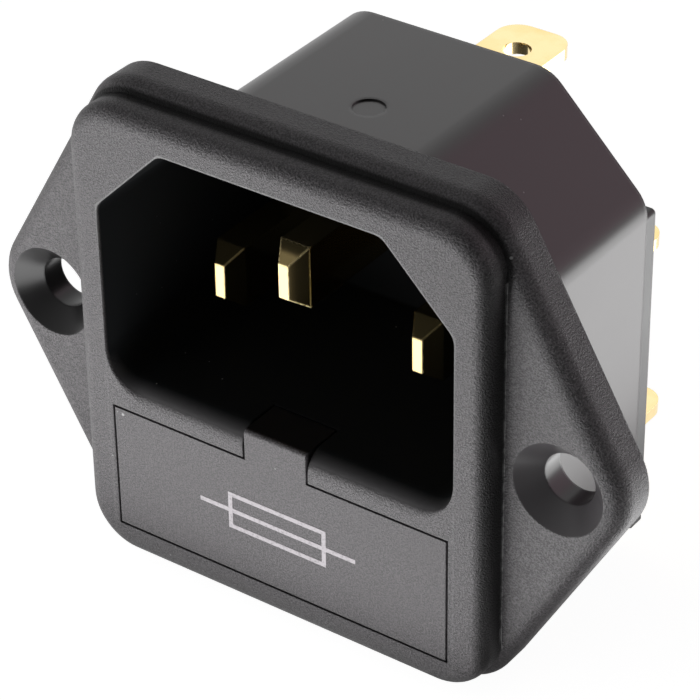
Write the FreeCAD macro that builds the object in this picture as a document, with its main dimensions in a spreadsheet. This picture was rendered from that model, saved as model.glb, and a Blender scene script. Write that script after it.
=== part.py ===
import FreeCAD, Part
import Sketcher
import math
import os
import re

# Fused C14 panel inlet.  Millimetres.  +Z is up, +X is to the right for someone facing the socket,
# and the socket faces -Y.  The origin lies on the rear face of the flange, which seats on the
# panel, midway between the two screw holes.

os.makedirs("parts", exist_ok=True)
doc = FreeCAD.newDocument("fused_inlet")
sheet = doc.addObject("Spreadsheet::Sheet", "Sizes")

SIZES = {
    # flange and raised bezel, set out from the recess and the drawer inside them
    "screw_offset": 3.5, "screw_hole_dia": 3.3, "screw_head_dia": 5.9, "screw_head_angle": 90.0,
    "ear_radius": 4.1, "flange_thick": 2.9, "flange_step": 0.75, "flange_end_inset": 1.2,
    "flange_corner": 3.6, "flange_round": 1.3,
    "bezel_raise": 1.87, "bezel_corner": 3.4, "bezel_round": 1.0,
    # housing behind the panel, inset from the flange and the bezel
    "body_side_inset": 1.0, "body_top_inset": 0.99, "body_low_inset": 1.45, "shoulder_wall": 0.834,
    "shoulder_round": 2.5, "body_corner": 1.0,
    "eject_mark_radius": 1.0, "eject_mark_depth": 0.1, "eject_mark_side": 0.7, "eject_mark_back": 4.0,
    # appliance recess, standard C14 outline, and the walls round it
    "recess_half_width": 12.4, "recess_half_height": 8.25, "recess_depth": 16.5, "recess_cut": 4.78,
    "recess_corner": 1.2, "recess_low_corner": 2.0, "recess_side_wall": 2.1, "recess_top_wall": 1.964,
    "recess_floor": 1.84, "lip_wall": 2.116, "lip_round": 1.3,
    # contact pins
    "pin_pitch": 14.0, "pin_offset": 2.0, "pin_width": 2.0, "pin_height": 4.0, "pin_inset": 4.33,
    "earth_inset": 1.29, "pin_taper": 1.2, "pin_tip_width": 0.64, "pin_tip_height": 2.22,
    "pin_clearance": 0.05, "tail_radius": 0.9,
    # 5 x 20 mm fuse
    "fuse_half_length": 10.0, "cap_radius": 2.6, "cap_length": 5.0, "cap_end": 0.5, "cap_skin": 0.18,
    "cap_clearance": 0.02, "glass_wall": 0.5, "wire_radius": 0.12,
    # fuse drawer and its bay, set out from the two fuses
    "drawer_side_room": 1.93, "drawer_side_wall": 2.57, "drawer_low_wall": 2.13,
    "drawer_headroom": 2.02, "drawer_seam": 0.15, "drawer_face": 1.6,
    "grip_half_width": 2.2, "grip_depth": 3.0, "grip_round": 0.25,
    "tray_floor": 1.0, "tray_wall": 1.2, "tray_play": 0.35, "tray_rail_drop": 1.49,
    "spare_gap": 0.4, "fuse_gap": 1.25, "seat_wrap": 0.2, "seat_clearance": 0.05, "seat_lift": 0.27,
    "seat_rise": 1.0, "cradle_inset": 0.4, "cradle_rise": 1.53, "rib_thick": 1.2, "rib_inset": 1.6,
    "rib_count": 4.0, "bay_end_play": 1.3, "bay_floor": 2.34,
    # straps and tabs, 0.8 mm brass, and their channels in the rear face
    "strap_width": 4.8, "strap_thick": 0.8, "strap_play": 0.1, "bend_radius": 0.7,
    "tab_length": 8.93, "tab_hole_radius": 0.9, "tab_hole_inset": 3.0, "tab_corner": 1.5,
    "earth_tab_rise": 3.764, "neutral_tab_drop": 3.186, "load_tab_drop": 2.4, "load_tab_inset": 2.5,
    "link_drop": 2.0, "load_strap_rise": 1.7,
    # spring leaves that meet the working fuse's caps
    "leaf_thick": 0.4, "leaf_width": 3.0, "leaf_gap": 0.2, "leaf_lead": 0.7, "leaf_lap": 1.3,
    "leaf_bend": 0.5, "leaf_length": 2.2, "leaf_play": 0.1,
    # rear cover, held by posts melted over it
    "cover_thick": 1.0, "cover_inset": 0.05, "cover_low_inset": 0.2, "cover_lap": 0.364,
    "cover_corner": 0.3, "post_inset": 1.8, "post_top_inset": 1.35, "post_low_inset": 1.5,
    "post_radius": 0.6, "post_clearance": 0.05, "post_head_radius": 1.0, "post_head_length": 0.5,
    "post_head_bevel": 0.3,
}
for row, (alias, value) in enumerate(SIZES.items(), start=1):
    sheet.set("A%d" % row, alias)
    sheet.set("B%d" % row, str(value))
    sheet.setAlias("B%d" % row, alias)
doc.recompute()

# Derived places, as expressions of the sheet's names.  A DEPTH is measured back from the bezel's
# face, and a name in _Y, a level or a side is a place in the part's own frame.
FRONT = "(flange_thick + bezel_raise)"
FUSE_BAY_DEPTH = ("(drawer_face + spare_gap + cap_radius * 4 + fuse_gap + seat_clearance - seat_wrap"
                  " + tray_wall + bay_end_play)")
DRAWER_HEIGHT = "(tray_floor + seat_lift + cap_radius * 2 + drawer_headroom)"
DRAWER_HALF = "(fuse_half_length + drawer_side_room)"

BEZEL_SIDE = ("(max(recess_half_width + recess_side_wall;"
              " fuse_half_length + drawer_side_room + drawer_side_wall))")
BEZEL_TOP = ("(recess_half_height + (recess_top_wall + lip_wall + %s + drawer_low_wall) / 2)"
             % DRAWER_HEIGHT)
FLANGE_TOP = "(%s + flange_step)" % BEZEL_TOP
FLANGE_END = "(%s - flange_end_inset)" % BEZEL_SIDE
SCREW_SIDE = "(%s + screw_offset)" % BEZEL_SIDE

RECESS_TOP = "(%s - recess_top_wall)" % BEZEL_TOP
RECESS_LOW = "(%s - recess_half_height * 2)" % RECESS_TOP
PIN_ROW = "(%s - recess_half_height - pin_offset)" % RECESS_TOP
EARTH_ROW = "(%s - recess_half_height + pin_offset)" % RECESS_TOP
LINE_SIDE = "(-pin_pitch / 2)"
NEUTRAL_SIDE = "(pin_pitch / 2)"

BODY_DEPTH = "(max(recess_depth + recess_floor; %s + bay_floor) - %s)" % (FUSE_BAY_DEPTH, FRONT)
BODY_SIDE = "(%s - body_side_inset)" % BEZEL_SIDE
BODY_TOP = "(%s - body_top_inset)" % FLANGE_TOP
BODY_LOW = "(body_low_inset - %s)" % FLANGE_TOP
SHOULDER_CUT = ("(recess_cut + %s - recess_half_width + %s - %s - shoulder_wall)"
                % (BODY_SIDE, BODY_TOP, RECESS_TOP))

DRAWER_TOP = "(%s - lip_wall)" % RECESS_LOW
DRAWER_LOW = "(%s - %s)" % (DRAWER_TOP, DRAWER_HEIGHT)
FACE_BACK = "(%s - drawer_face)" % FRONT
FUSE_LEVEL = "(%s + tray_floor + seat_lift + cap_radius)" % DRAWER_LOW
SPARE_Y = "(drawer_face + spare_gap + cap_radius - %s)" % FRONT
WORKING_Y = "(%s + cap_radius * 2 + fuse_gap)" % SPARE_Y
PARTITION_Y = "(%s + cap_radius + fuse_gap / 2)" % SPARE_Y
TRAY_BACK = "(%s + cap_radius + seat_clearance - seat_wrap + tray_wall)" % WORKING_Y
CRADLE_HALF = "(fuse_half_length - cradle_inset)"
RIB_SPAN = "((fuse_half_length - rib_inset) * 2)"

STRAP_HALF = "(strap_width / 2)"
STRAP_FRONT = "(%s - strap_play - strap_thick)" % BODY_DEPTH
STRAP_MID = "(%s + strap_thick / 2)" % STRAP_FRONT
TAB_TIP = "(%s + cover_thick + tab_length)" % BODY_DEPTH
EARTH_TAB = "(%s + earth_tab_rise)" % EARTH_ROW
NEUTRAL_TAB = "(%s - neutral_tab_drop)" % PIN_ROW
LOAD_TAB = "(%s - load_tab_drop)" % FUSE_LEVEL
LOAD_SIDE = "(fuse_half_length - load_tab_inset)"
LINK_LOW = "(%s - link_drop)" % FUSE_LEVEL
LOAD_STRAP_TOP = "(%s + load_strap_rise)" % FUSE_LEVEL

LEAF_FOOT = "(%s - leaf_thick / 2)" % STRAP_FRONT
LEAF_SIDE = "(%s + drawer_seam - leaf_play - leaf_thick / 2)" % DRAWER_HALF
LEAF_APEX = "(fuse_half_length + leaf_gap + leaf_thick / 2)"
LEAF_INNER = "(%s + leaf_lap)" % NEUTRAL_SIDE

COVER_SIDE = "(%s - cover_inset)" % BODY_SIDE
COVER_LOW = "(%s + cover_low_inset)" % BODY_LOW
COVER_TOP = "(%s + cover_lap)" % EARTH_ROW
COVER_BACK = "(%s + cover_thick)" % BODY_DEPTH


def bound(expression):
    """Write the sheet's names the way a property expression reads them."""
    return re.sub(r"[a-z_]{4,}", lambda word: "Sizes." + word.group(0), expression)


def number(expression):
    """Present value of an expression of the sheet's names."""
    return float(sheet.evalExpression(bound(expression)))


def new_body(name):
    body = doc.addObject("PartDesign::Body", name)
    body.Label = name
    return body


def sketch_on(body, name, role, offset="0"):
    """Empty sketch on one of the body's origin planes, moved along the plane's normal."""
    sketch = body.newObject("Sketcher::SketchObject", name)
    plane = [item for item in body.Origin.OriginFeatures if item.Role == role][0]
    sketch.AttachmentSupport = (plane, [""])
    sketch.MapMode = "FlatFace"
    sketch.setExpression("AttachmentOffset.Base.z", bound(offset))
    doc.recompute()
    return sketch


def place_point(sketch, geometry, end, across, up):
    """Tie one point of a sketch to the origin by two bound distances."""
    for kind, value in (("DistanceX", across), ("DistanceY", up)):
        index = sketch.addConstraint(
            Sketcher.Constraint(kind, -1, 1, geometry, end, number(value)))
        sketch.setExpression("Constraints[%d]" % index, bound(value))


def polygon(sketch, points):
    """Closed outline whose corners are pairs of expressions."""
    spots = [FreeCAD.Vector(number(across), number(up), 0) for across, up in points]
    count = len(points)
    first = sketch.GeometryCount
    for side in range(count):
        sketch.addGeometry(Part.LineSegment(spots[side], spots[(side + 1) % count]))
    for side in range(count):
        sketch.addConstraint(
            Sketcher.Constraint("Coincident", first + side, 2, first + (side + 1) % count, 1))
        place_point(sketch, first + side, 1, *points[side])


def rectangle(sketch, left, right, low, high):
    polygon(sketch, [(left, low), (right, low), (right, high), (left, high)])


def rounded_rectangle(sketch, half_width, half_height, radius):
    """Rectangle about the origin with a tangent arc of one bound radius at each corner."""
    wide, tall, bend = number(half_width), number(half_height), number(radius)
    up = FreeCAD.Vector(0, 0, 1)
    for turn in range(4):
        angle = -math.pi / 2 * turn
        spin = FreeCAD.Rotation(up, math.degrees(angle))
        across, along = (wide, tall) if turn % 2 == 0 else (tall, wide)
        start = spin.multVec(FreeCAD.Vector(bend - across, along, 0))
        end = spin.multVec(FreeCAD.Vector(across - bend, along, 0))
        centre = spin.multVec(FreeCAD.Vector(across - bend, along - bend, 0))
        sketch.addGeometry(Part.LineSegment(start, end))
        ring = Part.Circle(centre, up, bend)
        sketch.addGeometry(Part.ArcOfCircle(ring, angle, angle + math.pi / 2))
    for side in range(4):
        line, arc, following = 2 * side, 2 * side + 1, (2 * side + 2) % 8
        sketch.addConstraint(Sketcher.Constraint("Tangent", line, 2, arc, 2))
        sketch.addConstraint(Sketcher.Constraint("Tangent", arc, 1, following, 1))
        sketch.addConstraint(Sketcher.Constraint("Vertical" if side % 2 else "Horizontal", line))
    for kind, line, value in (("DistanceY", 0, half_height), ("DistanceX", 2, half_width),
                              ("DistanceY", 4, "-" + half_height), ("DistanceX", 6, "-" + half_width)):
        index = sketch.addConstraint(Sketcher.Constraint(kind, -1, 1, line, 1, number(value)))
        sketch.setExpression("Constraints[%d]" % index, bound(value))
    for arc in (1, 3, 5, 7):
        index = sketch.addConstraint(Sketcher.Constraint("Radius", arc, bend))
        sketch.setExpression("Constraints[%d]" % index, bound(radius))


def circle(sketch, across, up, radius):
    centre = FreeCAD.Vector(number(across), number(up), 0)
    ring = sketch.addGeometry(Part.Circle(centre, FreeCAD.Vector(0, 0, 1), number(radius)))
    place_point(sketch, ring, 3, across, up)
    index = sketch.addConstraint(Sketcher.Constraint("Radius", ring, number(radius)))
    sketch.setExpression("Constraints[%d]" % index, bound(radius))


def bent_line(sketch, points, radius):
    """Open centre line of a bent strip: straight runs joined by tangent arcs of one radius.

    Construction lines carry the bound corners, and the runs and arcs are tied to them."""
    spots = [FreeCAD.Vector(number(across), number(up), 0) for across, up in points]
    bend, runs = number(radius), len(points) - 1
    for run in range(runs):
        guide = sketch.addGeometry(Part.LineSegment(spots[run], spots[run + 1]), True)
        place_point(sketch, guide, 1, *points[run])
    place_point(sketch, runs - 1, 2, *points[-1])
    for run in range(runs - 1):
        sketch.addConstraint(Sketcher.Constraint("Coincident", run, 2, run + 1, 1))
    ends = [[spots[run], spots[run + 1]] for run in range(runs)]
    arcs = []
    for run in range(runs - 1):
        back = (spots[run] - spots[run + 1]).normalize()
        ahead = (spots[run + 2] - spots[run + 1]).normalize()
        half = back.getAngle(ahead) / 2
        ends[run][1] = spots[run + 1] + back * (bend / math.tan(half))
        ends[run + 1][0] = spots[run + 1] + ahead * (bend / math.tan(half))
        inward = (back + ahead).normalize()
        centre = spots[run + 1] + inward * (bend / math.sin(half))
        turns_left = (ahead.cross(back)).z > 0
        first, last = (ends[run][1], ends[run + 1][0])[::1 if turns_left else -1]
        angles = [math.atan2(spot.y - centre.y, spot.x - centre.x) for spot in (first, last)]
        if angles[1] < angles[0]:
            angles[1] += 2 * math.pi
        ring = Part.Circle(centre, FreeCAD.Vector(0, 0, 1), bend)
        arcs.append((Part.ArcOfCircle(ring, *angles), 1 if turns_left else 2))
    for start, end in ends:
        sketch.addGeometry(Part.LineSegment(start, end))
    for arc, _ in arcs:
        sketch.addGeometry(arc)
    sketch.addConstraint(Sketcher.Constraint("Coincident", runs, 1, 0, 1))
    sketch.addConstraint(Sketcher.Constraint("Coincident", 2 * runs - 1, 2, runs - 1, 2))
    for run in range(runs - 1):
        line, following, arc = runs + run, runs + run + 1, 2 * runs + run
        sketch.addConstraint(Sketcher.Constraint("PointOnObject", line, 2, run))
        sketch.addConstraint(Sketcher.Constraint("PointOnObject", following, 1, run + 1))
        entry = arcs[run][1]
        sketch.addConstraint(Sketcher.Constraint("Tangent", line, 2, arc, entry))
        sketch.addConstraint(Sketcher.Constraint("Tangent", following, 1, arc, 3 - entry))
        index = sketch.addConstraint(Sketcher.Constraint("Radius", arc, bend))
        sketch.setExpression("Constraints[%d]" % index, bound(radius))


def extrude(kind, body, name, sketch, length, reverse=False, middle=False):
    """Pad or pocket with a bound length; a pocket that removes nothing is an error."""
    before = body.Shape.Volume if body.Tip else 0.0
    feature = body.newObject("PartDesign::" + kind, name)
    feature.Profile = sketch
    feature.setExpression("Length", bound(length))
    feature.Reversed = reverse
    feature.Midplane = middle
    doc.recompute()
    check(feature)
    change = body.Shape.Volume - before
    if (change <= 0) == (kind == "Pad"):
        raise ValueError("%s changes nothing: %s" % (kind, name))
    return feature


def check(feature):
    if any(word in feature.State for word in ("Invalid", "Error")):
        raise ValueError("failed feature: " + feature.Name)


def edges_of(feature, test):
    names = ["Edge%d" % (index + 1) for index, edge in enumerate(feature.Shape.Edges) if test(edge)]
    if not names:
        raise ValueError("no such edge on " + feature.Name)
    return names


def dress(kind, body, name, base, names, size):
    """Fillet or chamfer on named edges, with a bound size."""
    feature = body.newObject("PartDesign::" + kind, name)
    feature.Base = (base, names)
    feature.setExpression("Radius" if kind == "Fillet" else "Size", bound(size))
    doc.recompute()
    check(feature)
    return feature


def near(value, expression, slack=0.01):
    return abs(value - number(expression)) < slack


def runs_along(edge, axis):
    """True for a straight edge parallel to X (0), Y (1) or Z (2)."""
    if edge.Curve.TypeId != "Part::GeomLine":
        return False
    direction = edge.Curve.Direction
    return abs(abs(direction[axis]) - 1) < 1e-6


def corner_at(edge, across, up, slack=0.01):
    """True for an edge along Y that crosses the given X and Z, on either side of the middle."""
    middle = edge.CenterOfMass
    return runs_along(edge, 1) and near(abs(middle.x), across, slack) and near(middle.z, up, slack)


def in_plane(edge, axis, expression):
    return all(near(vertex.Point[axis], expression) for vertex in edge.Vertexes) and near(
        edge.CenterOfMass[axis], expression)


# ---------------------------------------------------------------- housing, one moulding
def flange_outline(sketch):
    """Lozenge: two flat ends joined by slanted lines to a round ear about each screw hole."""
    half_pitch = number(SCREW_SIDE)
    ear = number("ear_radius")
    corner = FreeCAD.Vector(number(FLANGE_END), number(FLANGE_TOP), 0)
    reach = corner - FreeCAD.Vector(half_pitch, 0, 0)
    lean = math.acos(ear / reach.Length)
    bearing = math.atan2(reach.y, reach.x) - lean
    touch = FreeCAD.Vector(half_pitch + ear * math.cos(bearing), ear * math.sin(bearing), 0)
    up = FreeCAD.Vector(0, 0, 1)

    def at(point, side, level):
        return FreeCAD.Vector(side * point.x, level * point.y, 0)

    sketch.addGeometry(Part.LineSegment(at(corner, -1, 1), at(corner, 1, 1)))
    sketch.addGeometry(Part.LineSegment(at(corner, 1, 1), at(touch, 1, 1)))
    right_ring = Part.Circle(FreeCAD.Vector(half_pitch, 0, 0), up, ear)
    sketch.addGeometry(Part.ArcOfCircle(right_ring, -bearing, bearing))
    sketch.addGeometry(Part.LineSegment(at(touch, 1, -1), at(corner, 1, -1)))
    sketch.addGeometry(Part.LineSegment(at(corner, 1, -1), at(corner, -1, -1)))
    sketch.addGeometry(Part.LineSegment(at(corner, -1, -1), at(touch, -1, -1)))
    left_ring = Part.Circle(FreeCAD.Vector(-half_pitch, 0, 0), up, ear)
    sketch.addGeometry(Part.ArcOfCircle(left_ring, math.pi - bearing, math.pi + bearing))
    sketch.addGeometry(Part.LineSegment(at(touch, -1, 1), at(corner, -1, 1)))
    for first, second in ((0, 1), (3, 4), (4, 5), (7, 0)):
        sketch.addConstraint(Sketcher.Constraint("Coincident", first, 2, second, 1))
    for first, end, second, start in ((1, 2, 2, 2), (2, 1, 3, 1), (5, 2, 6, 2), (6, 1, 7, 1)):
        sketch.addConstraint(Sketcher.Constraint("Tangent", first, end, second, start))
    for line, end, side, level in ((0, 1, "-", ""), (0, 2, "", ""), (4, 1, "", "-"), (4, 2, "-", "-")):
        place_point(sketch, line, end, side + FLANGE_END, level + FLANGE_TOP)
    for arc, side in ((2, ""), (6, "-")):
        place_point(sketch, arc, 3, side + SCREW_SIDE, "0")
        index = sketch.addConstraint(Sketcher.Constraint("Radius", arc, ear))
        sketch.setExpression("Constraints[%d]" % index, bound("ear_radius"))


def add_flange(body):
    outline = sketch_on(body, "flange_outline", "XZ_Plane")
    flange_outline(outline)
    plate = extrude("Pad", body, "flange", outline, "flange_thick")
    corners = edges_of(plate, lambda edge: corner_at(edge, FLANGE_END, FLANGE_TOP)
                       or corner_at(edge, FLANGE_END, "-" + FLANGE_TOP))
    plate = dress("Fillet", body, "flange_corners", plate, corners, "flange_corner")
    rim = edges_of(plate, lambda edge: in_plane(edge, 1, "-flange_thick"))
    return dress("Fillet", body, "flange_rim", plate, rim, "flange_round")


def add_rear_block(body):
    outline = sketch_on(body, "rear_block_outline", "XZ_Plane")
    shoulder = "(%s - %s)" % (BODY_TOP, SHOULDER_CUT)
    top_end = "(%s - %s)" % (BODY_SIDE, SHOULDER_CUT)
    polygon(outline, [
        ("-" + top_end, BODY_TOP), ("-" + BODY_SIDE, shoulder), ("-" + BODY_SIDE, BODY_LOW),
        (BODY_SIDE, BODY_LOW), (BODY_SIDE, shoulder), (top_end, BODY_TOP)])
    block = extrude("Pad", body, "rear_block", outline, BODY_DEPTH, reverse=True)
    edges = edges_of(block, lambda edge: corner_at(edge, BODY_SIDE, shoulder)
                     or corner_at(edge, top_end, BODY_TOP))
    block = dress("Fillet", body, "shoulders", block, edges, "shoulder_round")
    edges = edges_of(block, lambda edge: corner_at(edge, BODY_SIDE, BODY_LOW))
    return dress("Fillet", body, "rear_block_feet", block, edges, "body_corner")


def add_bezel(body):
    """The raised frame grows out of the flange from below the flange's rounded rim."""
    outline = sketch_on(body, "bezel_outline", "XZ_Plane", "flange_thick - flange_round")
    rounded_rectangle(outline, BEZEL_SIDE, BEZEL_TOP, "bezel_corner")
    bezel = extrude("Pad", body, "bezel", outline, "bezel_raise + flange_round")
    edges = edges_of(bezel, lambda edge: in_plane(edge, 1, "-" + FRONT))
    return dress("Fillet", body, "bezel_rim", bezel, edges, "bezel_round")


def cut_recess(body):
    """C14 recess: two cut upper corners, round lower corners and a soft lower lip."""
    outline = sketch_on(body, "recess_outline", "XZ_Plane", FRONT)
    cut_top = "recess_half_width - recess_cut"
    cut_low = RECESS_TOP + " - recess_cut"
    polygon(outline, [
        ("-(%s)" % cut_top, RECESS_TOP), ("-recess_half_width", cut_low),
        ("-recess_half_width", RECESS_LOW), ("recess_half_width", RECESS_LOW),
        ("recess_half_width", cut_low), (cut_top, RECESS_TOP)])
    recess = extrude("Pocket", body, "recess", outline, "recess_depth")
    edges = edges_of(recess, lambda edge: corner_at(edge, cut_top, RECESS_TOP)
                     or corner_at(edge, "recess_half_width", cut_low))
    recess = dress("Fillet", body, "recess_corners", recess, edges, "recess_corner")
    edges = edges_of(recess, lambda edge: corner_at(edge, "recess_half_width", RECESS_LOW))
    dress("Fillet", body, "recess_low_corners", recess, edges, "recess_low_corner")
    cut_lower_lip(body)


LIP_TURNS = (0, 30, 60, 90)


def lip_section(body, turn):
    """Recess outline at one turn of the lower lip's curve, 0 at the face and 90 inside."""
    fall = "lip_round * %.6f" % (1 - math.sin(math.radians(turn)))
    depth = "lip_round * %.6f" % (1 - math.cos(math.radians(turn)))
    sketch = sketch_on(body, "lip_section_%02d" % turn, "XZ_Plane", "%s - %s" % (FRONT, depth))
    bend = "(recess_low_corner + %s)" % fall
    level = RECESS_LOW + " + recess_low_corner"
    wide, high, radius = number("recess_half_width"), number(level), number(bend)
    up = FreeCAD.Vector(0, 0, 1)
    ends = [FreeCAD.Vector(side * wide, high, 0) for side in (-1, 1)]
    feet = [FreeCAD.Vector(side * (wide - radius), high - radius, 0) for side in (-1, 1)]
    sketch.addGeometry(Part.LineSegment(ends[0], ends[1]))
    right = Part.Circle(FreeCAD.Vector(wide - radius, high, 0), up, radius)
    sketch.addGeometry(Part.ArcOfCircle(right, -math.pi / 2, 0))
    sketch.addGeometry(Part.LineSegment(feet[1], feet[0]))
    left = Part.Circle(FreeCAD.Vector(radius - wide, high, 0), up, radius)
    sketch.addGeometry(Part.ArcOfCircle(left, math.pi, math.pi * 3 / 2))
    sketch.addConstraint(Sketcher.Constraint("Coincident", 0, 2, 1, 2))
    sketch.addConstraint(Sketcher.Constraint("Coincident", 0, 1, 3, 1))
    sketch.addConstraint(Sketcher.Constraint("Tangent", 1, 1, 2, 1))
    sketch.addConstraint(Sketcher.Constraint("Tangent", 2, 2, 3, 2))
    place_point(sketch, 0, 1, "-recess_half_width", level)
    place_point(sketch, 0, 2, "recess_half_width", level)
    for arc in (1, 3):
        sketch.addConstraint(Sketcher.Constraint("PointOnObject", arc, 3, 0))
        index = sketch.addConstraint(Sketcher.Constraint("Radius", arc, radius))
        sketch.setExpression("Constraints[%d]" % index, bound(bend))
    return sketch


def cut_lower_lip(body):
    """Round the recess's lower rim and let the rounding die away up the two corners."""
    sections = [lip_section(body, turn) for turn in LIP_TURNS]
    lip = body.newObject("PartDesign::SubtractiveLoft", "lower_lip")
    lip.Profile = sections[0]
    lip.Sections = sections[1:]
    doc.recompute()
    check(lip)


def cut_drawer_bay(body):
    outline = sketch_on(body, "bay_outline", "XZ_Plane", FRONT)
    half = "(%s + drawer_seam)" % DRAWER_HALF
    rectangle(outline, "-" + half, half, DRAWER_LOW + " - drawer_seam", DRAWER_TOP + " + drawer_seam")
    extrude("Pocket", body, "drawer_bay", outline, FUSE_BAY_DEPTH)
    outline = sketch_on(body, "grip_notch_outline", "XZ_Plane", FRONT)
    half = "(grip_half_width + drawer_seam)"
    rectangle(outline, "-" + half, half, DRAWER_TOP, RECESS_LOW + " + lip_round")
    extrude("Pocket", body, "grip_notch", outline, "grip_depth + drawer_seam")


def cut_screw_holes(body):
    centres = sketch_on(body, "screw_centres", "XZ_Plane", "flange_thick")
    for side in ("", "-"):
        circle(centres, side + SCREW_SIDE, "0", "screw_hole_dia / 2")
    doc.recompute()
    hole = body.newObject("PartDesign::Hole", "screw_holes")
    hole.Profile = centres
    hole.setExpression("Diameter", bound("screw_hole_dia"))
    hole.DepthType = "ThroughAll"
    hole.HoleCutType = "Countersink"
    hole.HoleCutCustomValues = True
    hole.setExpression("HoleCutDiameter", bound("screw_head_dia"))
    hole.setExpression("HoleCutCountersinkAngle", bound("screw_head_angle"))
    doc.recompute()
    check(hole)


def pin_outline(sketch, across, row, clearance):
    half_width = "(pin_width / 2 + %s)" % clearance
    half_height = "(pin_height / 2 + %s)" % clearance
    rectangle(sketch, "%s - %s" % (across, half_width), "%s + %s" % (across, half_width),
              "%s - %s" % (row, half_height), "%s + %s" % (row, half_height))


PIN_PLACES = {"line_pin": (LINE_SIDE, PIN_ROW, "pin_inset"),
              "neutral_pin": (NEUTRAL_SIDE, PIN_ROW, "pin_inset"),
              "earth_pin": ("0", EARTH_ROW, "earth_inset")}


def cut_strap_channels(body):
    """Shallow channels in the rear face, one for each strap."""
    outline = sketch_on(body, "strap_channels", "XZ_Plane", "-" + BODY_DEPTH)
    half = "(%s + strap_play)" % STRAP_HALF
    tab_half = "(strap_thick / 2 + strap_play)"
    above_row = "(%s + %s)" % (PIN_ROW, half)
    for across, low, high in (
            ("0", "%s - %s" % (EARTH_ROW, half), "%s + %s" % (EARTH_TAB, tab_half)),
            (NEUTRAL_SIDE, "%s - %s" % (NEUTRAL_TAB, tab_half), above_row),
            (LINE_SIDE, LINK_LOW + " - strap_play", above_row),
            (LOAD_SIDE, "%s - %s" % (LOAD_TAB, tab_half), LOAD_STRAP_TOP + " + strap_play")):
        rectangle(outline, "%s - %s" % (across, half), "%s + %s" % (across, half), low, high)
    extrude("Pocket", body, "channels", outline, "strap_thick + strap_play", reverse=True)


def cut_leaf_slots(body):
    """Seats for the feet of the spring leaves, and slots that let the leaves into the bay."""
    reach = "(leaf_width / 2 + leaf_play)"
    low, high = "%s - %s" % (FUSE_LEVEL, reach), "%s + %s" % (FUSE_LEVEL, reach)
    outer = "(%s + leaf_thick / 2 + leaf_play)" % LEAF_SIDE
    inner = "(%s - leaf_bend - leaf_play)" % LEAF_SIDE
    foot_end = "(%s - leaf_play)" % LEAF_INNER
    seats = sketch_on(body, "leaf_foot_pockets", "XZ_Plane", "-" + BODY_DEPTH)
    slots = sketch_on(body, "leaf_slot_outlines", "XZ_Plane", "-" + BODY_DEPTH)
    for outline, inside in ((seats, foot_end), (slots, inner)):
        rectangle(outline, "-" + outer, "-" + inside, low, high)
        rectangle(outline, inside, outer, low, high)
    extrude("Pocket", body, "leaf_feet", seats, "strap_thick + strap_play + leaf_thick", reverse=True)
    extrude("Pocket", body, "leaf_slots", slots,
            "%s + %s - %s + leaf_play" % (BODY_DEPTH, FRONT, FUSE_BAY_DEPTH), reverse=True)


def cut_pin_holes(body):
    pins = sketch_on(body, "pin_hole_outlines", "XZ_Plane", "-" + BODY_DEPTH)
    for across, row, inset in PIN_PLACES.values():
        pin_outline(pins, across, row, "pin_clearance")
    extrude("Pocket", body, "pin_holes", pins,
            "%s + %s - recess_depth + pin_clearance" % (BODY_DEPTH, FRONT), reverse=True)


POSTS = [("%s(%s - post_inset)" % (side, COVER_SIDE), level) for side in ("", "-")
         for level in (COVER_TOP + " - post_top_inset", COVER_LOW + " + post_low_inset")]


def add_posts(body):
    """Posts moulded on the rear face; their tips are melted into bevelled heads over the cover."""
    outline = sketch_on(body, "post_outlines", "XZ_Plane", "-" + BODY_DEPTH)
    for across, up in POSTS:
        circle(outline, across, up, "post_radius")
    extrude("Pad", body, "posts", outline, "cover_thick", reverse=True)
    outline = sketch_on(body, "post_head_outlines", "XZ_Plane", "-" + COVER_BACK)
    for across, up in POSTS:
        circle(outline, across, up, "post_head_radius")
    heads = extrude("Pad", body, "post_heads", outline, "post_head_length", reverse=True)
    rims = edges_of(heads, lambda edge: in_plane(edge, 1, COVER_BACK + " + post_head_length"))
    dress("Chamfer", body, "post_head_bevels", heads, rims, "post_head_bevel")


def add_eject_mark(body):
    outline = sketch_on(body, "eject_mark_outline", "XY_Plane", BODY_TOP)
    circle(outline, "eject_mark_side", "eject_mark_back", "eject_mark_radius")
    extrude("Pocket", body, "eject_mark", outline, "eject_mark_depth")


def build_housing():
    body = new_body("inlet_housing")
    add_flange(body)
    add_rear_block(body)
    add_bezel(body)
    cut_recess(body)
    cut_drawer_bay(body)
    cut_screw_holes(body)
    cut_strap_channels(body)
    cut_leaf_slots(body)
    cut_pin_holes(body)
    add_posts(body)
    add_eject_mark(body)


# ---------------------------------------------------------------- pins
def build_pin(name, across, row, inset):
    """Flat blade with four bevels at the tip and a round tail that is riveted into its strap."""
    body = new_body(name)
    base = "(%s - %s - pin_taper)" % (FRONT, inset)
    shank = sketch_on(body, name + "_shank_outline", "XZ_Plane", "-" + STRAP_FRONT)
    pin_outline(shank, across, row, "0")
    extrude("Pad", body, name + "_shank", shank, "%s + %s" % (STRAP_FRONT, base))
    foot = sketch_on(body, name + "_taper_base", "XZ_Plane", base)
    pin_outline(foot, across, row, "0")
    tip = sketch_on(body, name + "_taper_tip", "XZ_Plane", base + " + pin_taper")
    rectangle(tip, "%s - pin_tip_width / 2" % across, "%s + pin_tip_width / 2" % across,
              "%s - pin_tip_height / 2" % row, "%s + pin_tip_height / 2" % row)
    taper = body.newObject("PartDesign::AdditiveLoft", name + "_taper")
    taper.Profile = foot
    taper.Sections = [tip]
    taper.Ruled = True
    doc.recompute()
    check(taper)
    tail = sketch_on(body, name + "_tail_outline", "XZ_Plane", "-" + STRAP_FRONT)
    circle(tail, across, row, "tail_radius")
    extrude("Pad", body, name + "_tail", tail, "strap_thick", reverse=True)


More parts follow.
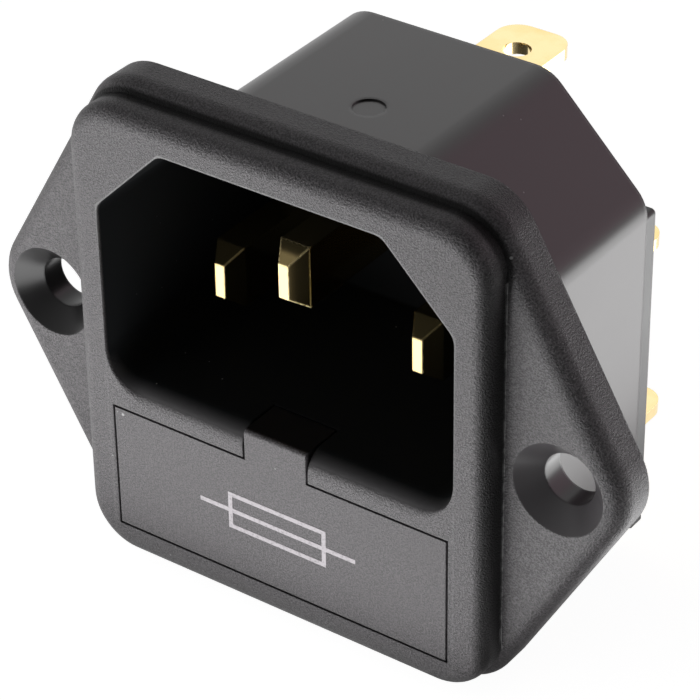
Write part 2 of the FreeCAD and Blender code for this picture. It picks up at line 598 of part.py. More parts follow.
# ---------------------------------------------------------------- straps, tabs and leaves
def sweep_strip(body, name, profile, path):
    strip = body.newObject("PartDesign::AdditivePipe", name)
    strip.Profile = profile
    strip.Spine = path
    strip.Transition = "Right corner"
    doc.recompute()
    check(strip)
    return strip


def cut_round(body, name, role, offset, across, up, radius, length):
    outline = sketch_on(body, name + "_outline", role, offset)
    circle(outline, across, up, radius)
    return extrude("Pocket", body, name, outline, length, middle=True)


def build_terminal(name, across, start, level, pin_row=None):
    """Strap that lies in its channel, turns through a right angle and leaves as a flat tab."""
    body = new_body(name)
    path = sketch_on(body, name + "_path", "YZ_Plane", across)
    bent_line(path, [(STRAP_MID, start), (STRAP_MID, level), (TAB_TIP, level)], "bend_radius")
    outline = sketch_on(body, name + "_section", "XY_Plane", start)
    rectangle(outline, "%s - %s" % (across, STRAP_HALF), "%s + %s" % (across, STRAP_HALF),
              STRAP_FRONT, STRAP_FRONT + " + strap_thick")
    strip = sweep_strip(body, name + "_strip", outline, path)
    corners = edges_of(strip, lambda edge: runs_along(edge, 2)
                       and near(edge.CenterOfMass.y, TAB_TIP))
    dress("Fillet", body, name + "_tip", strip, corners, "tab_corner")
    cut_round(body, name + "_hole", "XY_Plane", level, across, TAB_TIP + " - tab_hole_inset",
              "tab_hole_radius", "strap_thick * 2")
    if pin_row:
        cut_round(body, name + "_pin_hole", "XZ_Plane", "-" + STRAP_MID, across, pin_row,
                  "tail_radius + pin_clearance", "strap_thick * 2")


def build_link():
    """Flat strap from the line pin down to the line side's spring leaf."""
    body = new_body("line_link")
    outline = sketch_on(body, "link_outline", "XZ_Plane", "-" + STRAP_FRONT)
    rectangle(outline, "%s - %s" % (LINE_SIDE, STRAP_HALF), "%s + %s" % (LINE_SIDE, STRAP_HALF),
              LINK_LOW, "%s + %s" % (PIN_ROW, STRAP_HALF))
    extrude("Pad", body, "link_strap", outline, "strap_thick", reverse=True)
    cut_round(body, "link_pin_hole", "XZ_Plane", "-" + STRAP_MID, LINE_SIDE, PIN_ROW,
              "tail_radius + pin_clearance", "strap_thick * 2")


def build_leaf(name, side):
    """Thin spring strip: a foot behind the bay's wall, then a leaf bowed towards the fuse cap."""
    body = new_body(name)
    path = sketch_on(body, name + "_path", "XY_Plane", FUSE_LEVEL)
    bent_line(path, [
        (side + LEAF_INNER, LEAF_FOOT), (side + LEAF_SIDE, LEAF_FOOT),
        (side + LEAF_SIDE, WORKING_Y + " + leaf_length"), (side + LEAF_APEX, WORKING_Y),
        ("%s(%s + leaf_lead)" % (side, LEAF_APEX), WORKING_Y + " - leaf_length")], "leaf_bend")
    outline = sketch_on(body, name + "_section", "YZ_Plane", side + LEAF_INNER)
    rectangle(outline, LEAF_FOOT + " - leaf_thick / 2", LEAF_FOOT + " + leaf_thick / 2",
              FUSE_LEVEL + " - leaf_width / 2", FUSE_LEVEL + " + leaf_width / 2")
    sweep_strip(body, name + "_strip", outline, path)


# ---------------------------------------------------------------- fuse drawer and fuses
def add_drawer_face(body):
    """Face plate with a finger grip that stands up through the notch in the recess's lower lip."""
    face = sketch_on(body, "drawer_face_outline", "XZ_Plane", FRONT)
    polygon(face, [
        ("-" + DRAWER_HALF, DRAWER_LOW), (DRAWER_HALF, DRAWER_LOW), (DRAWER_HALF, DRAWER_TOP),
        ("grip_half_width", DRAWER_TOP), ("grip_half_width", RECESS_LOW),
        ("-grip_half_width", RECESS_LOW), ("-grip_half_width", DRAWER_TOP),
        ("-" + DRAWER_HALF, DRAWER_TOP)])
    extrude("Pad", body, "drawer_face_plate", face, "drawer_face", reverse=True)
    grip = sketch_on(body, "grip_outline", "XZ_Plane", FRONT)
    rectangle(grip, "-grip_half_width", "grip_half_width", DRAWER_TOP + " - drawer_face", RECESS_LOW)
    grip = extrude("Pad", body, "grip", grip, "grip_depth", reverse=True)
    edges = edges_of(grip, lambda edge: runs_along(edge, 0) and in_plane(edge, 1, "-" + FRONT)
                     and near(edge.CenterOfMass.z, RECESS_LOW))
    dress("Fillet", body, "grip_edge", grip, edges, "grip_round")


def add_tray(body):
    """Floor, two side rails beside the spare fuse and two cross walls behind the fuses."""
    rail_outer = "(%s - tray_play)" % DRAWER_HALF
    rail_inner = "(%s - tray_wall)" % rail_outer
    face_back = "-" + FACE_BACK
    floor = sketch_on(body, "tray_floor_outline", "XY_Plane", DRAWER_LOW)
    polygon(floor, [
        ("-" + rail_outer, face_back), (rail_outer, face_back), (rail_outer, PARTITION_Y),
        (CRADLE_HALF, PARTITION_Y), (CRADLE_HALF, TRAY_BACK), ("-" + CRADLE_HALF, TRAY_BACK),
        ("-" + CRADLE_HALF, PARTITION_Y), ("-" + rail_outer, PARTITION_Y)])
    extrude("Pad", body, "tray_floor_plate", floor, "tray_floor")
    rails = sketch_on(body, "tray_rail_outlines", "XZ_Plane", FACE_BACK)
    for sign in ("", "-"):
        rectangle(rails, sign + rail_inner, sign + rail_outer, DRAWER_LOW,
                  DRAWER_TOP + " - tray_rail_drop")
    extrude("Pad", body, "tray_rails", rails, "%s + %s" % (PARTITION_Y, FACE_BACK), reverse=True)
    walls = sketch_on(body, "cross_wall_outlines", "XY_Plane", DRAWER_LOW)
    for front in (PARTITION_Y + " - tray_wall / 2", TRAY_BACK + " - tray_wall"):
        rectangle(walls, "-" + CRADLE_HALF, CRADLE_HALF, front, front + " + tray_wall")
    extrude("Pad", body, "cross_walls", walls, "%s + cradle_rise - %s" % (FUSE_LEVEL, DRAWER_LOW))


def add_seat_ribs(body):
    """Row of ribs under the fuses, cut to seats that reach past the fuses' middle and grip them."""
    outline = sketch_on(body, "seat_rib_outline", "YZ_Plane", "-%s / 2" % RIB_SPAN)
    rectangle(outline, "-" + FACE_BACK, TRAY_BACK, DRAWER_LOW, FUSE_LEVEL + " + seat_rise")
    rib = extrude("Pad", body, "seat_rib", outline, "rib_thick", middle=True)
    row = body.newObject("PartDesign::LinearPattern", "seat_ribs")
    row.Originals = [rib]
    x_axis = [item for item in body.Origin.OriginFeatures if item.Role == "X_Axis"][0]
    row.Direction = (x_axis, [""])
    row.setExpression("Length", bound(RIB_SPAN))
    row.setExpression("Occurrences", bound("rib_count"))
    body.Tip = row
    doc.recompute()
    check(row)
    seats = sketch_on(body, "fuse_seat_outlines", "YZ_Plane")
    for place in (SPARE_Y, WORKING_Y):
        circle(seats, place, FUSE_LEVEL, "cap_radius + seat_clearance")
    extrude("Pocket", body, "fuse_seats", seats, "(fuse_half_length + tray_play) * 2", middle=True)


def build_drawer():
    body = new_body("fuse_drawer")
    add_drawer_face(body)
    add_tray(body)
    add_seat_ribs(body)


def revolve_x(body, name, corners):
    """Solid of revolution about the fuse axis, which lies along X at the sketch's own origin."""
    sketch = sketch_on(body, name + "_outline", "XY_Plane")
    polygon(sketch, corners)
    turned = body.newObject("PartDesign::Revolution", name)
    turned.Profile = sketch
    turned.ReferenceAxis = (sketch, ["H_Axis"])
    turned.Angle = 360
    doc.recompute()
    check(turned)


def place_fuse_piece(body, place):
    body.setExpression("Placement.Base.y", bound(place))
    body.setExpression("Placement.Base.z", bound(FUSE_LEVEL))


def build_fuse(name, place):
    """5 x 20 mm glass fuse: tube, two end caps and the element wire between them."""
    end = "(fuse_half_length - cap_end)"
    bore = "(cap_radius - cap_skin)"
    outer = "(%s - cap_clearance)" % bore
    inner = "(%s - glass_wall)" % outer
    tube = new_body(name + "_glass")
    revolve_x(tube, name + "_glass_tube", [
        ("-" + end, inner), (end, inner), (end, outer), ("-" + end, outer)])
    place_fuse_piece(tube, place)
    for label, sign in (("left_cap", "-"), ("right_cap", "")):
        cap = new_body("%s_%s" % (name, label))
        tip, mouth = sign + "fuse_half_length", sign + "(fuse_half_length - cap_length)"
        revolve_x(cap, "%s_%s_shell" % (name, label), [
            (tip, "0"), (tip, "cap_radius"), (mouth, "cap_radius"), (mouth, bore),
            (sign + end, bore), (sign + end, "0")])
        place_fuse_piece(cap, place)
    wire = new_body(name + "_wire")
    revolve_x(wire, name + "_element", [
        ("-" + end, "0"), (end, "0"), (end, "wire_radius"), ("-" + end, "wire_radius")])
    place_fuse_piece(wire, place)


# ---------------------------------------------------------------- rear cover
def build_rear_cover():
    """Flat cover with a slot for each tab that leaves through it and a hole for each post."""
    body = new_body("rear_cover")
    outline = sketch_on(body, "cover_outline", "XZ_Plane", "-" + BODY_DEPTH)
    rectangle(outline, "-" + COVER_SIDE, COVER_SIDE, COVER_LOW, COVER_TOP)
    for across, up in POSTS:
        circle(outline, across, up, "post_radius + post_clearance")
    half, tab_half = "(%s + strap_play)" % STRAP_HALF, "(strap_thick / 2 + strap_play)"
    for across, level in ((NEUTRAL_SIDE, NEUTRAL_TAB), (LOAD_SIDE, LOAD_TAB)):
        rectangle(outline, "%s - %s" % (across, half), "%s + %s" % (across, half),
                  "%s - %s" % (level, tab_half), "%s + %s" % (level, tab_half))
    plate = extrude("Pad", body, "cover_plate", outline, "cover_thick", reverse=True)
    edges = edges_of(plate, lambda edge: corner_at(edge, COVER_SIDE, COVER_TOP)
                     or corner_at(edge, COVER_SIDE, COVER_LOW))
    dress("Fillet", body, "cover_corners", plate, edges, "cover_corner")


def write_parts():
    doc.recompute()
    for item in doc.Objects:
        if any(word in item.State for word in ("Invalid", "Error")):
            raise ValueError("failed object: " + item.Name)
    bodies = [item for item in doc.Objects if item.TypeId == "PartDesign::Body"]
    for body in bodies:
        if body.Shape.isNull() or not body.Shape.isValid() or len(body.Shape.Solids) != 1:
            raise ValueError("bad solid: " + body.Label)
    for body in bodies:
        body.Shape.exportStep("parts/%s.step" % body.Label)
        print("%-22s %9.2f mm3" % (body.Label, body.Shape.Volume))


build_housing()
build_rear_cover()
for pin_name, place in PIN_PLACES.items():
    build_pin(pin_name, *place)
build_terminal("earth_terminal", "0", "%s - %s" % (EARTH_ROW, STRAP_HALF), EARTH_TAB, EARTH_ROW)
build_terminal("neutral_terminal", NEUTRAL_SIDE, "%s + %s" % (PIN_ROW, STRAP_HALF), NEUTRAL_TAB,
               PIN_ROW)
build_terminal("load_terminal", LOAD_SIDE, LOAD_STRAP_TOP, LOAD_TAB)
build_link()
build_leaf("line_fuse_spring", "-")
build_leaf("load_fuse_spring", "")
build_drawer()
build_fuse("working_fuse", WORKING_Y)
build_fuse("spare_fuse", SPARE_Y)
write_parts()
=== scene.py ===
import math

import bmesh
import bpy
from mathutils import Matrix, Vector


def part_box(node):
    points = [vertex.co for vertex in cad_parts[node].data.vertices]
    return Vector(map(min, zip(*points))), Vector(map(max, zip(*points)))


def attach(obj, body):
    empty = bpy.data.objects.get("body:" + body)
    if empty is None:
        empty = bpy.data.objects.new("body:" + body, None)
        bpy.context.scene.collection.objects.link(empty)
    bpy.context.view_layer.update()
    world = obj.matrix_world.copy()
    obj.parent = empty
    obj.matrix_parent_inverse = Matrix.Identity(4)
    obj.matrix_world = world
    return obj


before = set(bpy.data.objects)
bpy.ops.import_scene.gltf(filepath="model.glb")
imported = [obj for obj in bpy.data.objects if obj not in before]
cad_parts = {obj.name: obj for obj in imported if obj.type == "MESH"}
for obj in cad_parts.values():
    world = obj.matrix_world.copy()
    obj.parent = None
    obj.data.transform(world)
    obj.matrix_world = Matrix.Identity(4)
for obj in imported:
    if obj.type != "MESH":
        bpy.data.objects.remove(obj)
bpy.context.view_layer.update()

# Fused C14 panel inlet.  Metres, in the CAD frame: the socket faces -Y, +Z is up and the origin
# lies on the seat plane of the flange.  The CAD nodes carry every shape; this script gives them
# their finish, adds the printed fuse symbol, and sets floor, light and camera.

MM = 0.001
HOUSING_LOW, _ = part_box("inlet_housing")
DRAWER_LOW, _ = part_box("fuse_drawer")
EARTH_LOW, EARTH_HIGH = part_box("earth_pin")
LINE_LOW, LINE_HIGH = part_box("line_pin")

# Sizes of the CAD that the finishes are laid out from.  Bezel and recess are centred on X = 0.
FACE_Y = HOUSING_LOW.y                       # front of the bezel and of the drawer
FLANGE_FRONT = -2.9 * MM
BEZEL_SIDE, BEZEL_TOP, BEZEL_CORNER = 14.5 * MM, 15.6 * MM, 3.4 * MM
RECESS_SIDE, RECESS_HALF_HEIGHT, RECESS_DEPTH = 12.4 * MM, 8.25 * MM, 16.5 * MM
RECESS_CUT = 4.78 * MM                       # of the two upper corners
RECESS_MIDDLE = (EARTH_LOW.z + EARTH_HIGH.z + LINE_LOW.z + LINE_HIGH.z) / 4
RECESS_LOW, RECESS_TOP = RECESS_MIDDLE - RECESS_HALF_HEIGHT, RECESS_MIDDLE + RECESS_HALF_HEIGHT
LIP_ROUND = 1.3 * MM
GRIP_DEPTH = 3.0 * MM
SCREW_SIDE, SCREW_HEAD_RADIUS = 18.0 * MM, 2.95 * MM
PIN_TAPER = 1.2 * MM
WALL_SLACK = 0.1 * MM                        # a face this near to the recess counts as its wall


# ---------------------------------------------------------------- node helpers
class Shader:
    """A material's node tree, with short calls for the nodes that the finishes below share."""

    def __init__(self, name):
        self.material = bpy.data.materials.new(name)
        self.material.use_nodes = True
        self.start(self.material.node_tree, "ShaderNodeOutputMaterial", "Object")

    @classmethod
    def of_tree(cls, tree, output, place):
        made = cls.__new__(cls)
        made.start(tree, output, place)
        return made

    def start(self, tree, output, place):
        self.tree = tree
        tree.nodes.clear()
        self.output = self.node(output)
        self.place = self.node("ShaderNodeTexCoord").outputs[place]

    def node(self, kind, **settings):
        made = self.tree.nodes.new(kind)
        for key, value in settings.items():
            setattr(made, key, value)
        return made

    def feed(self, socket, value):
        if isinstance(value, bpy.types.NodeSocket):
            self.tree.links.new(value, socket)
        else:
            socket.default_value = value

    # numbers
    def math(self, operation, first, second=0.0, clamp=False):
        made = self.node("ShaderNodeMath", operation=operation, use_clamp=clamp)
        self.feed(made.inputs[0], first)
        self.feed(made.inputs[1], second)
        return made.outputs[0]

    def product(self, first, *others):
        for other in others:
            first = self.math("MULTIPLY", first, other)
        return first

    def most(self, first, *others):
        for other in others:
            first = self.math("MAXIMUM", first, other)
        return first

    def below(self, value, limit):
        return self.math("LESS_THAN", value, limit)

    def above(self, value, limit):
        return self.math("GREATER_THAN", value, limit)

    def outside(self, mask):
        return self.math("SUBTRACT", 1.0, mask)

    def hypotenuse(self, first, second):
        squares = self.math("ADD", self.math("POWER", first, 2.0), self.math("POWER", second, 2.0))
        return self.math("SQRT", squares)

    def ramp(self, value, low, high, start=0.0, end=1.0):
        """Straight change from start to end while the value goes from low to high, held outside."""
        made = self.node("ShaderNodeMapRange", clamp=True)
        for index, part in enumerate((value, low, high, start, end)):
            self.feed(made.inputs[index], part)
        return made.outputs[0]

    def band(self, value, middle, half_width):
        """Mask of a thin stripe about a value."""
        away = self.math("ABSOLUTE", self.math("SUBTRACT", value, middle))
        return self.ramp(away, half_width, half_width * 0.5)

    def blend_value(self, factor, first, second):
        made = self.node("ShaderNodeMix", data_type="FLOAT")
        self.feed(made.inputs[0], factor)
        self.feed(made.inputs[2], first)
        self.feed(made.inputs[3], second)
        return made.outputs[0]

    # places and patterns
    def axes(self):
        split = self.node("ShaderNodeSeparateXYZ")
        self.feed(split.inputs[0], self.place)
        return split.outputs

    def stretched(self, scale):
        made = self.node("ShaderNodeMapping")
        self.feed(made.inputs["Vector"], self.place)
        made.inputs["Scale"].default_value = scale
        return made.outputs["Vector"]

    def shifted(self, scale, distance):
        """The place, moved about by a noise, so that round dots turn ragged."""
        shift = self.node("ShaderNodeTexNoise")
        self.feed(shift.inputs["Vector"], self.place)
        self.feed(shift.inputs["Scale"], scale)
        move = self.node("ShaderNodeVectorMath", operation="SCALE")
        self.feed(move.inputs[0], shift.outputs["Color"])
        self.feed(move.inputs["Scale"], distance)
        total = self.node("ShaderNodeVectorMath", operation="ADD")
        self.feed(total.inputs[0], self.place)
        self.feed(total.inputs[1], move.outputs[0])
        return total.outputs[0]

    def dot_product(self, first, second):
        made = self.node("ShaderNodeVectorMath", operation="DOT_PRODUCT")
        self.feed(made.inputs[0], first)
        self.feed(made.inputs[1], second)
        return made.outputs["Value"]

    def noise(self, scale, detail=2.0, roughness=0.5, place=None):
        made = self.node("ShaderNodeTexNoise")
        self.feed(made.inputs["Vector"], place or self.place)
        self.feed(made.inputs["Scale"], scale)
        self.feed(made.inputs["Detail"], detail)
        self.feed(made.inputs["Roughness"], roughness)
        return made.outputs["Fac"]

    def specks(self, scale, radius, share, wobble=0.0):
        """Mask of small dots, one in a share of the cells of a cell pattern."""
        cells = self.node("ShaderNodeTexVoronoi", feature="F1")
        place = self.shifted(scale * 2, wobble / scale) if wobble else self.place
        self.feed(cells.inputs["Vector"], place)
        self.feed(cells.inputs["Scale"], scale)
        dot = self.ramp(cells.outputs["Distance"], radius, radius * 0.5)
        pick = self.node("ShaderNodeSeparateColor")
        self.feed(pick.inputs[0], cells.outputs["Color"])
        return self.product(dot, self.below(pick.outputs[0], share))

    # surfaces
    def blend(self, factor, first, second):
        made = self.node("ShaderNodeMix", data_type="RGBA")
        self.feed(made.inputs["Factor"], factor)
        self.feed(made.inputs["A"], first)
        self.feed(made.inputs["B"], second)
        return made.outputs["Result"]

    def openness(self, distance):
        """1 on open faces, falling toward 0 in joints and inner corners."""
        made = self.node("ShaderNodeAmbientOcclusion", samples=3)
        self.feed(made.inputs["Distance"], distance)
        return made.outputs["AO"]

    def soft_edges(self, radius):
        """Normal that rounds sharp edges by a small radius."""
        made = self.node("ShaderNodeBevel", samples=3)
        self.feed(made.inputs["Radius"], radius)
        return made.outputs[0]

    def bump(self, height, distance, strength=1.0, normal=None):
        made = self.node("ShaderNodeBump")
        self.feed(made.inputs["Height"], height)
        self.feed(made.inputs["Distance"], distance)
        self.feed(made.inputs["Strength"], strength)
        if normal:
            self.feed(made.inputs["Normal"], normal)
        return made.outputs[0]

    def finish(self, **sockets):
        """Principled surface with the given sockets, named as in Blender with _ for a space."""
        surface = self.node("ShaderNodeBsdfPrincipled")
        for name, value in sockets.items():
            self.feed(surface.inputs[name.replace("_", " ")], value)
        self.feed(self.output.inputs["Surface"], surface.outputs[0])
        return self.material


def grey(level, tint=(1.0, 1.0, 1.0)):
    return (level * tint[0], level * tint[1], level * tint[2], 1.0)


# ---------------------------------------------------------------- black mouldings
WHITE = grey(1.0)
WARM_BLACK, WARM_SATIN, COOL_BLACK = (1.0, 0.935, 0.985), (1.0, 0.78, 0.82), (0.9, 1.0, 1.1)
GRAIN_SCALE, PATCH_SCALE = 9200, 420         # of the noise, in waves a metre
FRONT_LEVEL, FRONT_CONTRAST = 0.076, 0.65
DRAWER_LEVEL, DRAWER_CONTRAST = 0.078, 0.55
SATIN_LEVELS, COVER_LEVELS = (0.026, 0.034), (0.030, 0.044)
SUNK_LEFT_SHADE, SUNK_RIGHT_LIGHT = 0.008, 0.065         # the two countersinks, painted darker at left and paler at right as shade and light
# the recess's level is painted shade of its depth, over its smooth moulding; the last level is
# painted shade in joints and corners
LIP_LEVEL, RECESS_SHADE_LEVEL, CREVICE_SHADE_LEVEL = 0.035, 0.010, 0.004
# the first level is a painted highlight on the recess's edge; the second colours pale thin lines,
# part of them a painted highlight
RIM_HIGHLIGHT_LEVEL, FLASH_AND_HIGHLIGHT_LEVEL, DUST_LEVEL = 0.33, 0.3, 0.42
GRAIN_GLOSS, SMOOTH_GLOSS, RECESS_GLOSS, GROOVE_GLOSS = 0.36, 0.5, 0.1, 0.12


def grained_plastic(shader, level, contrast):
    """Colour and height of the spark-eroded grain on the moulding's front."""
    grain = shader.noise(GRAIN_SCALE, 2.0, 0.6)
    patches = shader.noise(PATCH_SCALE, 3.0, 0.6)
    colour = shader.blend(shader.ramp(grain, 0.38, 0.64),
                          grey(level * (1 - contrast), WARM_BLACK),
                          grey(level * (1 + contrast), WARM_BLACK))
    mottled = shader.blend(shader.ramp(patches, 0.3, 0.7), grey(level * 0.9, WARM_BLACK), colour)
    return shader.blend(0.75, mottled, colour), grain


def flowed_plastic(shader, stretch, levels, tint=(1.0, 1.0, 1.0)):
    """Flow streaks of a smooth moulding, and its colour, which changes a little with them."""
    flow = shader.noise(1.0, 3.0, 0.5, shader.stretched(stretch))
    dark, light = levels
    return flow, shader.blend(shader.ramp(flow, 0.35, 0.65), grey(dark, tint), grey(light, tint))


def dusted(shader, colour, amount=1.0):
    """Adds a few pale dust specks to a colour, some ragged and some fine."""
    ragged = shader.specks(620, 0.075, 0.035 * amount, wobble=0.1)
    fine = shader.specks(1700, 0.12, 0.02 * amount)
    both = shader.most(shader.product(ragged, 0.85), shader.product(fine, 0.5))
    return shader.blend(both, colour, grey(DUST_LEVEL))


def recess_masks(shader, side, along, up):
    """Masks of the recess's inside with its painted shade, of its rounded lower lip, and of a
    painted highlight along the thin edge of the opening.
    """
    cut_sum = RECESS_SIDE - RECESS_CUT + RECESS_TOP
    diagonal = shader.math("ADD", side, up)
    inside = shader.product(shader.below(side, RECESS_SIDE + WALL_SLACK),
                            shader.above(up, RECESS_LOW - LIP_ROUND - WALL_SLACK),
                            shader.below(up, RECESS_TOP + WALL_SLACK),
                            shader.below(diagonal, cut_sum + WALL_SLACK),
                            shader.below(along, FACE_Y + RECESS_DEPTH + WALL_SLACK))
    depth = shader.math("SUBTRACT", along, FACE_Y)
    low = shader.ramp(up, RECESS_LOW + 1.4 * MM, RECESS_LOW + 0.4 * MM)
    lip = shader.product(inside, low, shader.ramp(depth, 0.0, 0.2 * MM))

    # the recess's painted shade starts close behind the face, and more gently over the rounded lip
    wall_start = shader.ramp(depth, 0.12 * MM, 0.3 * MM)
    lip_start = shader.ramp(depth, 0.08 * MM, 1.0 * MM)
    deep_shade = shader.product(inside, shader.blend_value(low, wall_start, lip_start))

    # painted highlight: a thin pale line along the opening's edge, stronger toward the top
    outward = shader.most(shader.math("SUBTRACT", side, RECESS_SIDE),
                          shader.math("SUBTRACT", up, RECESS_TOP))
    slanted = shader.product(shader.math("SUBTRACT", diagonal, cut_sum), math.sqrt(0.5))
    edge = shader.band(shader.most(outward, slanted), 0.02 * MM, 0.085 * MM)
    near_face = shader.ramp(depth, 0.2 * MM, 0.08 * MM)
    high = shader.ramp(up, RECESS_LOW + 3.0 * MM, RECESS_TOP - 1.0 * MM, 0.15, 1.0)
    return deep_shade, lip, shader.product(edge, near_face, high)


def crease_shade_mask(shader, side, along, up):
    """Mask of the painted shade in the crease where the bezel's top and upper corners grow out of
    the flange.
    """
    over = shader.most(shader.math("SUBTRACT", side, BEZEL_SIDE - BEZEL_CORNER), 0.0)
    above = shader.most(shader.math("SUBTRACT", up, BEZEL_TOP - BEZEL_CORNER), 0.0)
    outline = shader.band(shader.hypotenuse(over, above), BEZEL_CORNER + 0.05 * MM, 0.35 * MM)
    foot = shader.band(along, FLANGE_FRONT, 0.6 * MM)
    high = shader.ramp(up, BEZEL_TOP - 2 * BEZEL_CORNER, BEZEL_TOP - BEZEL_CORNER)
    return shader.product(outline, foot, high)


def sunk_mask(shader, side, along, up):
    """Mask of the screw holes and their countersinks."""
    radius = shader.hypotenuse(shader.math("SUBTRACT", side, SCREW_SIDE), up)
    return shader.product(shader.below(radius, SCREW_HEAD_RADIUS),
                          shader.above(along, FLANGE_FRONT + 0.02 * MM))


def flash_and_highlight_mask(shader, across, side, along, up, inside):
    """Mask of pale thin lines: moulding fins at the bezel's foot and at the back, and a painted
    highlight along the bezel's left edge.
    """
    broken = shader.ramp(shader.noise(1500, 2.0, 0.6), 0.42, 0.6)
    foot = shader.product(shader.band(side, BEZEL_SIDE + 0.03 * MM, 0.045 * MM),
                          shader.band(along, FLANGE_FRONT, 0.2 * MM),
                          shader.below(up, BEZEL_TOP - BEZEL_CORNER),
                          shader.ramp(broken, 0.0, 1.0, 0.15, 0.6))
    # painted highlight along the bezel's left edge
    left_edge_highlight = shader.product(shader.band(across, 0.24 * MM - BEZEL_SIDE, 0.07 * MM),
                               shader.below(along, FLANGE_FRONT - 0.2 * MM), 0.5)
    back_edge = shader.product(shader.band(along, -0.06 * MM, 0.06 * MM),
                               shader.ramp(shader.noise(330, 2.0, 0.6), 0.54, 0.6),
                               shader.math("SUBTRACT", 0.6, inside, clamp=True))
    return shader.most(foot, left_edge_highlight, back_edge)


def painted_side_shade_mask(shader, across, along):
    """Mask of the painted shade on the bezel's right side, from its rounded front edge to the
    flange.
    """
    rounded = shader.ramp(across, BEZEL_SIDE - 0.8 * MM, BEZEL_SIDE - 0.3 * MM)
    return shader.product(rounded, shader.below(across, BEZEL_SIDE + 0.02 * MM),
                          shader.below(along, FLANGE_FRONT + 0.05 * MM))


def front_with_painted_light(shader, colour, across, along, up):
    """The front's colour with painted light: slightly paler on the right ear and along the bezel's
    lower edge.
    """
    right_ear_light = shader.product(
        shader.ramp(across, BEZEL_SIDE + 0.1 * MM, BEZEL_SIDE + 0.5 * MM, 0.0, 0.035),
        shader.band(along, FLANGE_FRONT, 0.3 * MM))
    low_edge_light = shader.product(
        shader.ramp(up, 1.7 * MM - BEZEL_TOP, 0.9 * MM - BEZEL_TOP, 0.0, 0.042),
        shader.below(along, FACE_Y + 1.2 * MM))
    return shader.blend(low_edge_light, shader.blend(right_ear_light, colour, WHITE), WHITE)


def housing_finish():
    """Black moulding: grained flange and bezel, smooth recess darkened by painted shade, satin
    block behind.
    """
    shader = Shader("black_moulding")
    across, along, up = shader.axes()
    side = shader.math("ABSOLUTE", across)
    behind = shader.ramp(along, 0.05 * MM, 0.15 * MM)
    inside, lip, rim_highlight = recess_masks(shader, side, along, up)
    sunk = sunk_mask(shader, side, along, up)
    crease_shade = crease_shade_mask(shader, side, along, up)
    side_shade = painted_side_shade_mask(shader, across, along)
    flash_and_highlight = flash_and_highlight_mask(shader, across, side, along, up, inside)
    smooth = shader.most(inside, lip, sunk, behind)
    # painted shade: the colour darkens where faces are hemmed in, in joints, inner corners and
    # under lips
    crevice_shade = shader.ramp(shader.openness(1.6 * MM), 0.15, 0.78, 0.85, 0.0)
    _, satin = flowed_plastic(shader, (160, 60, 160), SATIN_LEVELS, WARM_SATIN)
    # painted shade and light: the countersinks go from dark at left to pale at right
    sunk_light_and_shade = shader.blend(shader.ramp(across, -SCREW_SIDE, SCREW_SIDE),
                               grey(SUNK_LEFT_SHADE, WARM_BLACK), grey(SUNK_RIGHT_LIGHT, WARM_BLACK))

    grained, grain = grained_plastic(shader, FRONT_LEVEL, FRONT_CONTRAST)
    # painted light: a paler right ear and a paler lower edge of the bezel
    colour = front_with_painted_light(shader, grained, across, along, up)
    # the first pair paints shade on the bezel's right side
    for mask, shade in ((shader.product(side_shade, 0.85), grey(0.008)),
                        (lip, grey(LIP_LEVEL, WARM_BLACK)),
                        (behind, satin),
                        (sunk, sunk_light_and_shade),
                        # smooth recess, painted near black as the shade of its depth
                        (inside, grey(RECESS_SHADE_LEVEL, COOL_BLACK)),
                        (crevice_shade, grey(CREVICE_SHADE_LEVEL)),
                        # painted shade in the crease along the bezel's top
                        (shader.product(crease_shade, 0.9), grey(0.006)),
                        # painted highlight on the recess's edge
                        (shader.product(rim_highlight, 0.45), grey(RIM_HIGHLIGHT_LEVEL)),
                        # pale thin lines: moulding fins, and the painted highlight on the bezel's
                        # left edge
                        (shader.product(flash_and_highlight, shader.outside(behind)), grey(FLASH_AND_HIGHLIGHT_LEVEL))):
        colour = shader.blend(mask, colour, shade)

    rough = shader.blend_value(smooth, shader.ramp(grain, 0.3, 0.7, 0.42, 0.52), 0.3)
    rough = shader.blend_value(inside, rough, 0.7)
    gloss = shader.blend_value(smooth, GRAIN_GLOSS, SMOOTH_GLOSS)
    gloss = shader.blend_value(inside, gloss, RECESS_GLOSS)
    dulled = shader.most(crease_shade, shader.product(side_shade, 0.6))
    gloss = shader.blend_value(dulled, gloss, GROOVE_GLOSS)
    height = shader.product(grain, shader.outside(smooth))
    rounding = shader.soft_edges(shader.blend_value(behind, 0.15 * MM, 0.35 * MM))
    return shader.finish(Base_Color=dusted(shader, colour), Roughness=rough,
                         Specular_IOR_Level=gloss,
                         Normal=shader.bump(height, 0.09 * MM, 1.0, rounding))


def drawer_finish():
    """Fuse drawer: the same grain on its face, smooth behind it."""
    shader = Shader("drawer_moulding")
    _, along, _ = shader.axes()
    grained, grain = grained_plastic(shader, DRAWER_LEVEL, DRAWER_CONTRAST)
    smooth = shader.ramp(along, FACE_Y + 0.2 * MM, FACE_Y + 0.35 * MM)
    past_grip = shader.ramp(along, FACE_Y + GRIP_DEPTH, FACE_Y + GRIP_DEPTH + 0.4 * MM)
    plain = shader.blend(past_grip, grey(0.012, WARM_BLACK), grey(0.035, WARM_BLACK))
    colour = dusted(shader, shader.blend(smooth, grained, plain), 0.6)
    rough = shader.blend_value(smooth, shader.ramp(grain, 0.3, 0.7, 0.48, 0.6), 0.35)
    height = shader.product(grain, shader.outside(smooth))
    normal = shader.bump(height, 0.05 * MM, 1.0, shader.soft_edges(0.08 * MM))
    return shader.finish(Base_Color=colour, Roughness=rough, Specular_IOR_Level=GRAIN_GLOSS,
                         Normal=normal)


